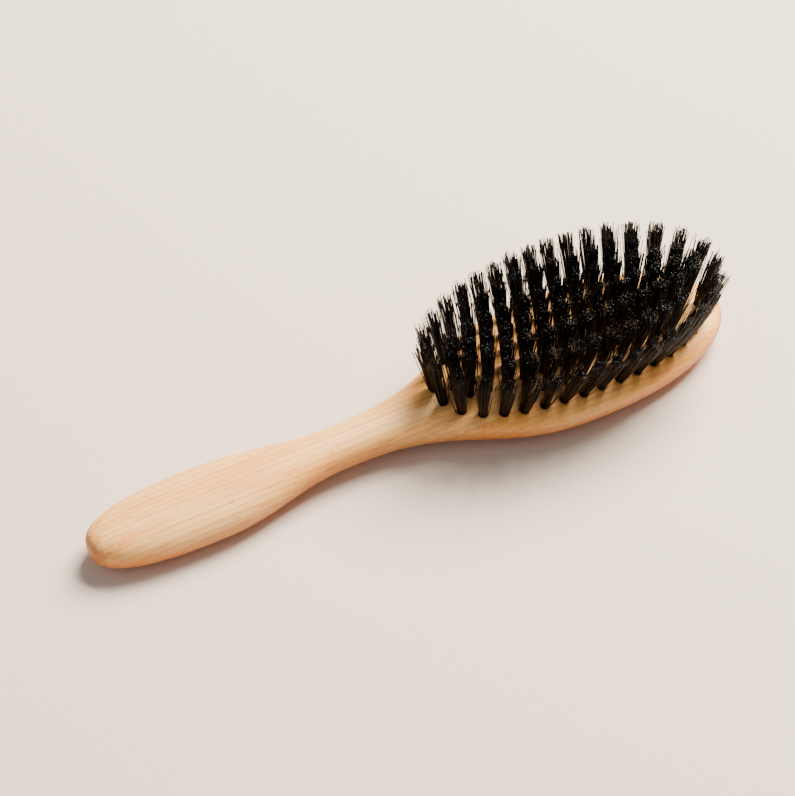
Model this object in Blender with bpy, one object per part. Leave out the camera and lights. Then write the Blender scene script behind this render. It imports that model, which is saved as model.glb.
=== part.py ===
"""Oval hairbrush: a beech body with its handle in one piece, tufts of bristle drawn through the
head on wires, and a beech back glued over the wires.

Metres. +X runs from the end of the handle to the tip of the head and +Z out along the tufts. The
origin is midway along the whole length, on the surface that the brush lies on. The shapes are made
with x as a station, the distance from the end of the handle, and an empty carries them to there.
"""

import math

import bmesh
import bpy
from mathutils import Matrix, Vector

# Overall sizes
LENGTH = 0.224
HEAD_WIDTH = 0.0534
HEAD_THICKNESS = 0.0136
HANDLE_WIDTH = 0.0274
HANDLE_THICKNESS = 0.0140
NECK_WIDTH = 0.0147
NECK_THICKNESS = 0.0110

# Where along the handle and the head the widths above are reached
HANDLE_WIDEST = 0.040
NECK_NARROWEST = 0.085
HEAD_WIDEST = 0.168
NECK_LIFT = 0.0025  # how far the underside of the neck stands off the table
REST_FLAT = 0.00035  # depth planed off the underside to leave the flats that the brush lies on

# How square each outline and section is: 2 is an ellipse, and more is squarer
HANDLE_END_POWER = 2.6
HEAD_TIP_POWER = 2.1
SHOULDER_POWER = 2.05
HANDLE_ROUNDING_POWER = 3.6
TIP_ROUNDING_POWER = 2.4
HANDLE_SECTION_POWER = 2.2
FACE_SECTION_POWER = 3.1  # the half of the head above its middle height
BACK_SECTION_POWER = 2.25  # the half below it, which is rounder

# How each size eases into the next along the brush
EASE_POWER = 2.0

# The glued back
BACK_THICKNESS = 0.0040
BACK_STARTS = 0.108
SCARF_LENGTH = 0.009
GLUE_GAP = 0.0003

# The tufts, their bores and their wires
TUFT_PITCH = 0.0068
ROW_SPACING = 0.0068
RING_EDGE_MARGIN = 0.0063
RING_TIP_MARGIN = 0.0083
RING_STARTS = 0.1197
RING_WIDEST = 0.171
RING_POWER = 2.2
TUFT_CLEARANCE = 0.0046  # the least distance between the middles of two tufts at their roots
TUFT_LENGTH = 0.0204
TUFT_TIP_RADIUS = 0.0020
TUFT_FOLD_DEPTH = 0.0040
TUFT_GAP = 0.0003  # between a tuft and its bore
BORE_FACE_RADIUS = 0.0016
BORE_BACK_RADIUS = 0.0011
LEAN_MIDDLE = 0.04  # a tuft's run along the brush for each metre that it rises, mid head
LEAN_ENDS = 0.24  # what the two ends of the head add to it, away from the middle
LEAN_SIDES = 0.42  # a tuft's run across the brush for each metre that it rises, at the widest
LEAN_POWER = 1.5  # how late that lean grows from the middle of the head towards its sides
WIRE_RADIUS = 0.0004
WIRE_STRAND_RADIUS = 0.00028
WIRE_CHANNEL_DEPTH = 0.0016
WIRE_CHANNEL_MARGIN = 0.0022  # from the ends of the outer tufts' strands to its edge

# Facets
SECTION_POINTS = 28
END_STATIONS = 7
MIDDLE_STATIONS = 26
BORE_SIDES = 8
TUFT_SIDES = 5
CHANNEL_POINTS = 36
RING_STEPS = 800  # short straight steps that measure the length of the outer tufts' curve
SHARP_ANGLE = math.radians(35)
CUTTER_REACH = 0.004  # how far a cutter runs past what it cuts


def clear_scene():
    for existing in list(bpy.data.objects):
        bpy.data.objects.remove(existing, do_unlink=True)


def material(name, colour, roughness, metallic=0.0):
    made = bpy.data.materials.new(name)
    made.use_nodes = True
    shader = made.node_tree.nodes["Principled BSDF"]
    shader.inputs["Base Color"].default_value = (*colour, 1.0)
    shader.inputs["Roughness"].default_value = roughness
    shader.inputs["Metallic"].default_value = metallic
    return made


def object_from(name, mesh_data, finish=None):
    """An object of the brush made from a bmesh, shaded smooth except at its sharp edges."""
    bmesh.ops.recalc_face_normals(mesh_data, faces=mesh_data.faces)
    mesh = bpy.data.meshes.new(name)
    mesh_data.to_mesh(mesh)
    mesh_data.free()
    mesh.shade_smooth()
    mesh.set_sharp_from_angle(angle=SHARP_ANGLE)
    made = bpy.data.objects.new(name, mesh)
    bpy.context.scene.collection.objects.link(made)
    made.parent = bpy.data.objects["frame_origin"]
    if finish:
        mesh.materials.append(finish)
    return made


def helper_from(name, mesh_data):
    """A cutter: it shapes other objects and isn't a piece of the brush."""
    made = object_from(name, mesh_data)
    made.hide_render = True
    made.display_type = "WIRE"
    return made


def boolean(target, operation, other):
    change = target.modifiers.new(operation.lower() + "_" + other.name, "BOOLEAN")
    change.operation = operation
    change.solver = "EXACT"
    change.object = other


def arc(share, power):
    """The height of a superellipse of unit radii at this share of its half length."""
    return (1.0 - min(abs(share), 1.0) ** power) ** (1.0 / power)


def power_wave(wave, power):
    """A sine or cosine bent so that the pair of them draws a superellipse."""
    return math.copysign(abs(wave) ** (2 / power), wave)


def ease(share, power):
    """A curve that rises from 0 to 1, level at both ends and steeper in its middle."""
    if share <= 0.0:
        return 0.0
    if share >= 1.0:
        return 1.0
    return 1.0 / (1.0 + ((1.0 - share) / share) ** power)


def blend(low, high, share):
    return low + (high - low) * share


def half_width(station):
    """Half the width of the wood, seen from above."""
    if station < HANDLE_WIDEST:
        return HANDLE_WIDTH / 2 * arc(1 - station / HANDLE_WIDEST, HANDLE_END_POWER)
    if station < NECK_NARROWEST:
        share = (station - HANDLE_WIDEST) / (NECK_NARROWEST - HANDLE_WIDEST)
        swing = 0.5 - 0.5 * math.cos(math.pi * share)
        return blend(HANDLE_WIDTH / 2, NECK_WIDTH / 2, swing)
    if station < HEAD_WIDEST:
        share = (station - NECK_NARROWEST) / (HEAD_WIDEST - NECK_NARROWEST)
        return blend(NECK_WIDTH / 2, HEAD_WIDTH / 2, ease(share, SHOULDER_POWER))
    share = (station - HEAD_WIDEST) / (LENGTH - HEAD_WIDEST)
    return HEAD_WIDTH / 2 * arc(share, HEAD_TIP_POWER)


def side_profile(station):
    """(middle height, half thickness) of the wood, seen from the side."""
    if station < NECK_NARROWEST:
        share = (station - HANDLE_WIDEST) / (NECK_NARROWEST - HANDLE_WIDEST)
        thick = blend(HANDLE_THICKNESS, NECK_THICKNESS, ease(share, EASE_POWER))
        lift = blend(0.0, NECK_LIFT, ease(share, EASE_POWER))
    else:
        share = (station - NECK_NARROWEST) / (HEAD_WIDEST - NECK_NARROWEST)
        thick = blend(NECK_THICKNESS, HEAD_THICKNESS, ease(share, EASE_POWER))
        lift = blend(NECK_LIFT, 0.0, ease(share, EASE_POWER))
    closing = 1.0
    if station < HANDLE_WIDEST:
        closing = arc(1 - station / HANDLE_WIDEST, HANDLE_ROUNDING_POWER)
    if station > HEAD_WIDEST:
        closing = arc((station - HEAD_WIDEST) / (LENGTH - HEAD_WIDEST), TIP_ROUNDING_POWER)
    thick += REST_FLAT
    return lift - REST_FLAT + thick / 2, thick / 2 * closing


def section_power(station, in_head):
    """How square a half of the section is here, when it is in_head where the head is widest."""
    share = (station - NECK_NARROWEST) / (HEAD_WIDEST - NECK_NARROWEST)
    return blend(HANDLE_SECTION_POWER, in_head, ease(share, EASE_POWER))


def face_height(station, across):
    """The height of the bristle face above the table, this far across from the middle."""
    middle, half = side_profile(station)
    power = section_power(station, FACE_SECTION_POWER)
    return middle + half * arc(across / half_width(station), power)


def stations():
    """Stations of the wood's sections, closer together towards its two ends."""
    quarter = [1 - math.cos(math.pi / 2 * i / END_STATIONS) for i in range(1, END_STATIONS)]
    start = [HANDLE_WIDEST * share for share in quarter]
    run = HEAD_WIDEST - HANDLE_WIDEST
    middle = [HANDLE_WIDEST + run * i / MIDDLE_STATIONS for i in range(MIDDLE_STATIONS + 1)]
    end = [LENGTH - (LENGTH - HEAD_WIDEST) * share for share in reversed(quarter)]
    return start + middle + end


def section_point(station, angle):
    middle, half = side_profile(station)
    in_head = FACE_SECTION_POWER if math.sin(angle) > 0 else BACK_SECTION_POWER
    power = section_power(station, in_head)
    across = half_width(station) * power_wave(math.cos(angle), power)
    up = half * power_wave(math.sin(angle), power)
    return Vector((station, across, max(middle + up, 0.0)))


def wood_shape():
    """The whole outside of the wood, before it is split for the glued back."""
    shape = bmesh.new()
    turns = [2 * math.pi * i / SECTION_POINTS for i in range(SECTION_POINTS)]
    rings = []
    for station in stations():
        rings.append([shape.verts.new(section_point(station, turn)) for turn in turns])
    for ring, following in zip(rings, rings[1:]):
        for i in range(SECTION_POINTS):
            j = (i + 1) % SECTION_POINTS
            shape.faces.new((ring[i], following[i], following[j], ring[j]))
    for ring, station in ((rings[0], 0.0), (rings[-1], LENGTH)):
        pole = shape.verts.new((station, 0.0, side_profile(station)[0]))
        for i in range(SECTION_POINTS):
            shape.faces.new((ring[i], ring[(i + 1) % SECTION_POINTS], pole))
    return shape


def extruded(outline, direction):
    """A solid prism from a flat outline of points."""
    shape = bmesh.new()
    base = shape.faces.new([shape.verts.new(point) for point in outline])
    grown = bmesh.ops.extrude_face_region(shape, geom=[base])
    moved = [item for item in grown["geom"] if isinstance(item, bmesh.types.BMVert)]
    bmesh.ops.translate(shape, verts=moved, vec=direction)
    return shape


def back_region(gap):
    """The space under the glue line and behind the scarf, grown by gap."""
    slope = BACK_THICKNESS / SCARF_LENGTH
    shift = gap * math.hypot(1.0, slope) / slope
    top = BACK_THICKNESS + gap
    start = BACK_STARTS - shift
    far = LENGTH + CUTTER_REACH
    side = HEAD_WIDTH / 2 + CUTTER_REACH
    outline = [
        (start - CUTTER_REACH / slope, side, -CUTTER_REACH),
        (start + top / slope, side, top),
        (far, side, top),
        (far, side, -CUTTER_REACH),
    ]
    return extruded(outline, (0.0, -2 * side, 0.0))


def ring_reach(station):
    """The half length of the outer tufts' curve, on this side of its widest station."""
    if station < RING_WIDEST:
        return RING_WIDEST - RING_STARTS
    return LENGTH - RING_TIP_MARGIN - RING_WIDEST


def ring_point(turn):
    """(station, distance across) on the curve of the outer tufts; a turn of 0 is at the tip."""
    along = power_wave(math.cos(turn), RING_POWER)
    across = power_wave(math.sin(turn), RING_POWER)
    width = HEAD_WIDTH / 2 - RING_EDGE_MARGIN
    return RING_WIDEST + ring_reach(RING_WIDEST + along) * along, width * across


def ring_half_width(station):
    share = (station - RING_WIDEST) / ring_reach(station)
    return (HEAD_WIDTH / 2 - RING_EDGE_MARGIN) * arc(share, RING_POWER)


def ring_tufts():
    """The outer tufts on one side, evenly spaced along their curve, from the handle to the tip."""
    turns = [math.pi * (1 - i / RING_STEPS) for i in range(RING_STEPS + 1)]
    path = [Vector(ring_point(turn)) for turn in turns]
    runs = [0.0]
    for before, after in zip(path, path[1:]):
        runs.append(runs[-1] + (after - before).length)
    count = round(runs[-1] / TUFT_PITCH)
    tufts, at = [], 0
    for i in range(count):
        wanted = runs[-1] * (i + 0.5) / count
        while runs[at + 1] < wanted:
            at += 1
        tufts.append(tuple(path[at]))
    return tufts


def tuft_rows():
    """Rows across the head, each a list of (station, distance across) of its tufts.

    A row at an outer tuft holds the outer pair and the next but one inwards. The rows between
    them hold the tufts in the gaps, so the whole head is staggered.
    """
    ring = ring_tufts()
    width = HEAD_WIDTH / 2 - RING_EDGE_MARGIN
    placed = [Vector(tuft) for tuft in ring] + [Vector((s, -y)) for s, y in ring]

    def fits(station, across):
        here = Vector((station, across))
        return all((here - other).length >= TUFT_CLEARANCE for other in placed)

    rows = []
    for i, (station, outer) in enumerate(ring):
        inner = ROW_SPACING / width * outer
        row = [(station, outer), (station, -outer)]
        if 2 * inner >= TUFT_CLEARANCE and fits(station, inner):
            row += [(station, inner), (station, -inner)]
            placed += [Vector((station, inner)), Vector((station, -inner))]
        rows.append(row)
        if i + 1 == len(ring):
            continue
        between = (station + ring[i + 1][0]) / 2
        across = 2 * ROW_SPACING / width * ring_half_width(between)
        row = [(between, side * across) for side in (1, -1) if fits(between, side * across)]
        if fits(between, 0.0):
            row.append((between, 0.0))
        if row:
            rows.append(row)
    return [sorted(row, key=lambda tuft: tuft[1]) for row in rows]


def lean(station, across):
    """The direction of a tuft: it leans outwards all round the head."""
    share = (station - RING_WIDEST) / ring_reach(station)
    along = LEAN_MIDDLE + LEAN_ENDS * share * abs(share)
    spread = abs(across) / (HEAD_WIDTH / 2 - RING_EDGE_MARGIN)
    sideways = LEAN_SIDES * math.copysign(spread**LEAN_POWER, across)
    return Vector((along, sideways, 1.0)).normalized()


def wire_height():
    return BACK_THICKNESS + GLUE_GAP + WIRE_CHANNEL_DEPTH / 2


def channel_top():
    return BACK_THICKNESS + GLUE_GAP + WIRE_CHANNEL_DEPTH


def root(station, across):
    """Where the middle of a tuft comes out of the wood."""
    return Vector((station, across, face_height(station, across)))


def down_to(height, station, across):
    """The distance down a tuft's middle line from the face to this height."""
    return (root(station, across).z - height) / lean(station, across).z


def turned(shape, sides, profile, origin, direction):
    """Adds a closed round solid to shape: profile is a list of (distance, radius) along direction."""
    placing = Matrix.Translation(origin) @ direction.to_track_quat("Z", "Y").to_matrix().to_4x4()
    rings = []
    for distance, radius in profile:
        turns = (2 * math.pi * i / sides for i in range(sides))
        points = [(radius * math.cos(turn), radius * math.sin(turn), distance) for turn in turns]
        rings.append([shape.verts.new(placing @ Vector(point)) for point in points])
    for ring, following in zip(rings, rings[1:]):
        for i in range(sides):
            j = (i + 1) % sides
            shape.faces.new((ring[i], ring[j], following[j], following[i]))
    shape.faces.new(list(reversed(rings[0])))
    shape.faces.new(rings[-1])


def bore_radius(distance, station, across):
    """The radius of a tuft's bore, this far along its middle line from the face; down is negative."""
    depth = down_to(channel_top(), station, across)
    return blend(BORE_FACE_RADIUS, BORE_BACK_RADIUS, -distance / depth)


def bores(rows):
    """All the bores in the head, which narrow towards the back so that no fold pulls through."""
    shape = bmesh.new()
    for tuft in (tuft for row in rows for tuft in row):
        bottom = -down_to(channel_top(), *tuft) - WIRE_CHANNEL_DEPTH / 2
        top = BORE_FACE_RADIUS  # clear of the face, which the bore meets at a slant
        profile = [(bottom, bore_radius(bottom, *tuft)), (top, bore_radius(top, *tuft))]
        turned(shape, BORE_SIDES, profile, root(*tuft), lean(*tuft))
    return shape


def tuft_radius(distance, station, across):
    """The radius of a tuft inside its bore, which has flat facets."""
    clear = bore_radius(distance, station, across) * math.cos(math.pi / BORE_SIDES)
    return clear - TUFT_GAP


def wire_end(station, across):
    """Where the strand from a tuft meets its row's wire."""
    reach = down_to(wire_height(), station, across)
    return root(station, across) - lean(station, across) * reach


def wire_channel():
    """The shallow recess in the back of the head for the wires, which follows the outer tufts."""
    turns = [2 * math.pi * (i + 0.5) / CHANNEL_POINTS for i in range(CHANNEL_POINTS)]
    ends = [wire_end(*ring_point(turn)) for turn in turns]
    outline = []
    for before, end, after in zip(ends[-1:] + ends, ends, ends[1:] + ends[:1]):
        outwards = Vector((after.y - before.y, before.x - after.x)).normalized()
        x, y = end.xy + outwards * WIRE_CHANNEL_MARGIN
        outline.append((x, y, BACK_THICKNESS - CUTTER_REACH / 2))
    rise = channel_top() - BACK_THICKNESS + CUTTER_REACH / 2
    return extruded(outline, (0.0, 0.0, rise))


def make_body(rows, finish):
    body = object_from("brush_body", wood_shape(), finish)
    boolean(body, "DIFFERENCE", helper_from("back_seat_cutter", back_region(GLUE_GAP)))
    boolean(body, "DIFFERENCE", helper_from("wire_channel_cutter", wire_channel()))
    boolean(body, "DIFFERENCE", helper_from("bore_cutter", bores(rows)))


def make_back(finish):
    back = object_from("back_cover", wood_shape(), finish)
    boolean(back, "INTERSECT", helper_from("back_region_cutter", back_region(0.0)))


def make_row(number, row, finish):
    """One row across the head: its tufts, each on a strand up from the wire behind them."""
    tufts = bmesh.new()
    for tuft in row:
        fold_radius = tuft_radius(-TUFT_FOLD_DEPTH, *tuft)
        profile = [
            (-down_to(wire_height(), *tuft), WIRE_STRAND_RADIUS),
            (-TUFT_FOLD_DEPTH - fold_radius, WIRE_STRAND_RADIUS),
            (-TUFT_FOLD_DEPTH, fold_radius),
            (0.0, tuft_radius(0.0, *tuft)),
            (TUFT_LENGTH, TUFT_TIP_RADIUS),
        ]
        turned(tufts, TUFT_SIDES, profile, root(*tuft), lean(*tuft))
    made = object_from(f"tuft_row_{number:02d}", tufts, finish)

    ends = [wire_end(*tuft) for tuft in row]
    spare = 2 * WIRE_RADIUS
    start = Vector((ends[0].x, ends[0].y - spare, wire_height()))
    length = ends[-1].y - ends[0].y + 2 * spare
    wire = bmesh.new()
    profile = [(0.0, WIRE_RADIUS), (length, WIRE_RADIUS)]
    turned(wire, TUFT_SIDES, profile, start, Vector((0.0, 1.0, 0.0)))
    boolean(made, "UNION", helper_from(f"wire_{number:02d}", wire))


def tip_reach(station, across):
    """How far along the brush the end of a tuft reaches."""
    direction = lean(station, across)
    rim = TUFT_TIP_RADIUS * math.sqrt(1 - direction.x**2)
    return station + TUFT_LENGTH * direction.x + rim


def place_origin(rows):
    """An empty that moves everything so that the origin is midway along the whole length."""
    overall = max([LENGTH] + [tip_reach(*tuft) for row in rows for tuft in row])
    empty = bpy.data.objects.new("frame_origin", None)
    bpy.context.scene.collection.objects.link(empty)
    empty.location.x = -overall / 2


def main():
    clear_scene()
    beech = material("beech", (0.71, 0.47, 0.25), 0.42)
    back_beech = material("back_beech", (0.69, 0.45, 0.24), 0.42)
    bristle = material("bristle", (0.012, 0.011, 0.011), 0.35)
    rows = tuft_rows()
    place_origin(rows)
    make_body(rows, beech)
    make_back(back_beech)
    for number, row in enumerate(rows, start=1):
        make_row(number, row, bristle)


main()
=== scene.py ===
"""The looks of an oval hairbrush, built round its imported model.

The brush has a body of oiled beech, turned and sanded in one piece with its handle. Tufts of black
boar bristle are folded over steel wires and drawn through bores in the head, and a thin beech back
is glued over the wires. Metres, +X from the end of the handle to the tip of the head, +Z out along
the bristles.
"""

import logging
import math
from collections.abc import Iterable, Sequence
from dataclasses import dataclass, field
from enum import Enum
from typing import Any

import bmesh
import bpy
from mathutils import Matrix, Vector


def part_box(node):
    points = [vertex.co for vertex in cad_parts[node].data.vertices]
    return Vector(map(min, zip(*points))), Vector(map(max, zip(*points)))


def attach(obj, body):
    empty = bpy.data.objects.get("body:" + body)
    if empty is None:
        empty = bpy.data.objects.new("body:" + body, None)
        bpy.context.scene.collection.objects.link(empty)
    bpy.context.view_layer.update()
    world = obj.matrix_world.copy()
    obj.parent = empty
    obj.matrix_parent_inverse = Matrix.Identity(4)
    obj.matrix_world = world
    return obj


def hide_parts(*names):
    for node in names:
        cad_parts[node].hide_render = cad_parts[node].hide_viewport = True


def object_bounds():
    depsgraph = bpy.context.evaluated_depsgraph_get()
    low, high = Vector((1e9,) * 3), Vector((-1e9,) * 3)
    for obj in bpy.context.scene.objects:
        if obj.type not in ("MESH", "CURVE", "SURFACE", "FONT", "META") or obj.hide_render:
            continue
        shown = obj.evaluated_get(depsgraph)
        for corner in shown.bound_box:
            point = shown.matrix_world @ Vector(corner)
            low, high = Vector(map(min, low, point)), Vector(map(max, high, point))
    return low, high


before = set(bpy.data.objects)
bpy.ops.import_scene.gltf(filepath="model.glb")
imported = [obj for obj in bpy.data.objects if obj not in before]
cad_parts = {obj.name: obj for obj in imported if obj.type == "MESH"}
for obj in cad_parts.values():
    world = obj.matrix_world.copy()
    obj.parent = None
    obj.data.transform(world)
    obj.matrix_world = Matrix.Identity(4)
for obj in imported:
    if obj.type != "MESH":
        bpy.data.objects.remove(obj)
CAD_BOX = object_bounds()

BODY = "root"
MM = 0.001
# A Wave texture of scale 1 repeats after this many units.
WAVE_PERIOD = math.pi / 10
log = logging.getLogger("hairbrush")

Tuft = tuple[float, float]
Place = tuple[float, float, float]
Range = tuple[float, float, float]


# ---------------------------------------------------------------- helpers


def linear(colour: str) -> tuple[float, float, float, float]:
    """Turns an sRGB hex colour into linear values.

    Args:
        colour: Six hex digits after a hash, such as "#deb887".

    Returns:
        Linear red, green, blue and a full alpha.
    """
    shares = [int(colour[i : i + 2], 16) / 255 for i in (1, 3, 5)]
    values = [s / 12.92 if s <= 0.04045 else ((s + 0.055) / 1.055) ** 2.4 for s in shares]
    return (values[0], values[1], values[2], 1.0)


@dataclass(frozen=True)
class Graph:
    """A node tree, with short ways to add the nodes that are used most."""

    tree: bpy.types.NodeTree

    def add(self, kind: str, inputs: dict | None = None, **settings: Any) -> Any:
        """Adds a node with its settings, and sets or links its inputs.

        Args:
            kind: The node's type name.
            inputs: What each input gets, by its name or number: a value, or the socket or the node
                that it is linked from, a node giving its first output in use.
            settings: The node's own properties.

        Returns:
            The new node.
        """
        node = self.tree.nodes.new(kind)
        for name, value in settings.items():
            setattr(node, name, value)
        for key, value in (inputs or {}).items():
            self.give(node, key, value)
        return node

    def give(self, node: Any, key: str | int, value: Any) -> None:
        """Sets or links one input of a node, with the arguments of add."""
        if isinstance(value, bpy.types.Node):
            value = next(socket for socket in value.outputs if socket.enabled)
        if isinstance(value, bpy.types.NodeSocket):
            self.tree.links.new(value, node.inputs[key])
        else:
            node.inputs[key].default_value = value

    @property
    def given(self) -> Any:
        """The outputs of the group's input node."""
        return self.tree.nodes["Group Input"].outputs

    def maths(self, operation: str, *values: Any, **settings: Any) -> Any:
        """Adds a sum on numbers, such as ADD or MULTIPLY_ADD, with its values in order."""
        inputs = dict(enumerate(values))
        return self.add("ShaderNodeMath", inputs, operation=operation, **settings)

    def vector(self, operation: str, *values: Any) -> Any:
        """Adds a sum on vectors, such as CROSS_PRODUCT, with its values in order."""
        return self.add("ShaderNodeVectorMath", dict(enumerate(values)), operation=operation)

    def scaled(self, vector: Any, size: Any) -> Any:
        """Adds a vector times a number."""
        inputs = {"Vector": vector, "Scale": size}
        return self.add("ShaderNodeVectorMath", inputs, operation="SCALE")

    def mixed(self, share: Any, low: Any, high: Any) -> Any:
        """Adds a mix of two colours, each a hex colour or the node that gives it."""
        low, high = (linear(end) if isinstance(end, str) else end for end in (low, high))
        return self.add("ShaderNodeMix", {0: share, 6: low, 7: high}, data_type="RGBA")

    def stored(self, name: str, kind: str = "FLOAT_VECTOR") -> Any:
        """Adds the value stored on each point under this name."""
        return self.add("GeometryNodeInputNamedAttribute", {0: name}, data_type=kind)

    def store(self, geometry: Any, name: str, value: Any, kind: str = "FLOAT_VECTOR") -> Any:
        """Stores a value on each point of the geometry under this name."""
        inputs = {"Geometry": geometry, "Name": name, "Value": value}
        return self.add("GeometryNodeStoreNamedAttribute", inputs, data_type=kind)


def new_material(name: str) -> tuple[bpy.types.Material, Graph, Any]:
    """Makes a node material.

    Args:
        name: What the real material is.

    Returns:
        The material, its graph and its Principled shader.
    """
    made = bpy.data.materials.new(name)
    made.use_nodes = True
    return made, Graph(made.node_tree), made.node_tree.nodes["Principled BSDF"]


def placed(name: str, data: Any) -> bpy.types.Object:
    """Makes an object with this data and links it into the scene."""
    made = bpy.data.objects.new(name, data)
    bpy.context.scene.collection.objects.link(made)
    return made


def point_at(target: bpy.types.Object, place: Place, direction: Vector) -> None:
    """Puts a light or the camera in its place, facing this way."""
    target.location = place
    target.rotation_mode = "QUATERNION"
    target.rotation_quaternion = direction.to_track_quat("-Z", "Y")


def bridge(shape: bmesh.types.BMesh, rings: Sequence[Sequence[bmesh.types.BMVert]]) -> None:
    """Adds the faces between closed rings of points, from each ring to the next."""
    count = len(rings[0])
    for ring, following in zip(rings, rings[1:]):
        for i in range(count):
            j = (i + 1) % count
            shape.faces.new((ring[i], ring[j], following[j], following[i]))


def object_from(shape: bmesh.types.BMesh, name: str) -> bpy.types.Object:
    """Turns a bmesh into a smooth object at the origin, with its faces outwards.

    Args:
        shape: The bmesh, which is freed.
        name: The object's name.

    Returns:
        The object, linked into the scene.
    """
    bmesh.ops.recalc_face_normals(shape, faces=shape.faces)
    mesh = bpy.data.meshes.new(name)
    shape.to_mesh(mesh)
    shape.free()
    mesh.shade_smooth()
    return placed(name, mesh)


def apply_modifiers(target: bpy.types.Object) -> None:
    """Turns an object's evaluated shape into its own plain mesh and drops its modifiers."""
    graph = bpy.context.evaluated_depsgraph_get()
    finished = bpy.data.meshes.new_from_object(target.evaluated_get(graph))
    finished.name = target.name
    target.modifiers.clear()
    target.data = finished


def cut(target: bpy.types.Object, operation: str, others: Iterable[bpy.types.Object]) -> None:
    """Applies Booleans to an object and removes the cutters.

    Args:
        target: The object that is cut.
        operation: DIFFERENCE or INTERSECT.
        others: The cutters, in order.
    """
    cutters = list(others)
    for other in cutters:
        change = target.modifiers.new(other.name, "BOOLEAN")
        change.operation = operation
        change.solver = "EXACT"
        change.object = other
    apply_modifiers(target)
    for other in cutters:
        bpy.data.objects.remove(other, do_unlink=True)


def extruded(outline: Sequence[Sequence[float]], direction: Sequence[float]) -> bmesh.types.BMesh:
    """Makes a solid prism.

    Args:
        outline: The points of its flat end.
        direction: How far and which way it runs.

    Returns:
        The prism.
    """
    shape = bmesh.new()
    base = shape.faces.new([shape.verts.new(point) for point in outline])
    grown = bmesh.ops.extrude_face_region(shape, geom=[base])
    moved = [item for item in grown["geom"] if isinstance(item, bmesh.types.BMVert)]
    bmesh.ops.translate(shape, verts=moved, vec=direction)
    return shape


def turned(
    shape: bmesh.types.BMesh,
    sides: int,
    profile: Sequence[tuple[float, float]],
    origin: Vector,
    direction: Vector,
) -> None:
    """Adds a closed round solid to a bmesh.

    Args:
        shape: The bmesh that it is added to.
        sides: How many sides it has.
        profile: Its (distance along direction, radius) from one end to the other.
        origin: Where distance is nought.
        direction: Its unit axis.
    """
    placing = Matrix.Translation(origin) @ direction.to_track_quat("Z", "Y").to_matrix().to_4x4()
    rings = []
    for distance, radius in profile:
        turns = (2 * math.pi * i / sides for i in range(sides))
        points = [(radius * math.cos(turn), radius * math.sin(turn), distance) for turn in turns]
        rings.append([shape.verts.new(placing @ Vector(point)) for point in points])
    bridge(shape, rings)
    shape.faces.new(list(reversed(rings[0])))
    shape.faces.new(rings[-1])


def arc(share: float, power: float) -> float:
    """The height of a superellipse of unit radii at this share of its half length."""
    return (1.0 - min(abs(share), 1.0) ** power) ** (1.0 / power)


def power_wave(wave: float, power: float) -> float:
    """A sine or cosine bent so that the pair of them draws a superellipse."""
    return math.copysign(abs(wave) ** (2 / power), wave)


def ease(share: float, power: float = 2.0) -> float:
    """A curve that rises from 0 to 1, level at both ends and steeper in its middle."""
    if share <= 0.0:
        return 0.0
    if share >= 1.0:
        return 1.0
    return 1.0 / (1.0 + ((1.0 - share) / share) ** power)


def blend(low: float, high: float, share: float) -> float:
    """The value this share of the way from low to high."""
    return low + (high - low) * share


# ---------------------------------------------------------------- finishes


class Board(Enum):
    """Which board a beech piece is cut from: where the tree's middle is, and its marks' seed."""

    BODY = (Vector((0.0, -78.0, -30.0)), 3.0)
    BACK = (Vector((0.0, 66.0, -40.0)), 11.0)

    @property
    def pith(self) -> Vector:
        """The middle of the tree's rings, in millimetres from the middle of the brush."""
        return self.value[0]

    @property
    def seed(self) -> float:
        """An offset that gives the board marks of its own."""
        return self.value[1]


@dataclass(frozen=True)
class Pattern:
    """A soft random pattern drawn out along the grain: its unit's length and width, and detail."""

    length_mm: float
    width_mm: float
    detail: float


@dataclass(frozen=True)
class Rays:
    """Lens-shaped flecks: one cell's length and width, a fleck's half size as a share of it, the
    share of cells left empty, and how strongly a fleck shows."""

    length_mm: float
    width_mm: float
    half_size: float
    left_out: float
    strength: float


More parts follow.
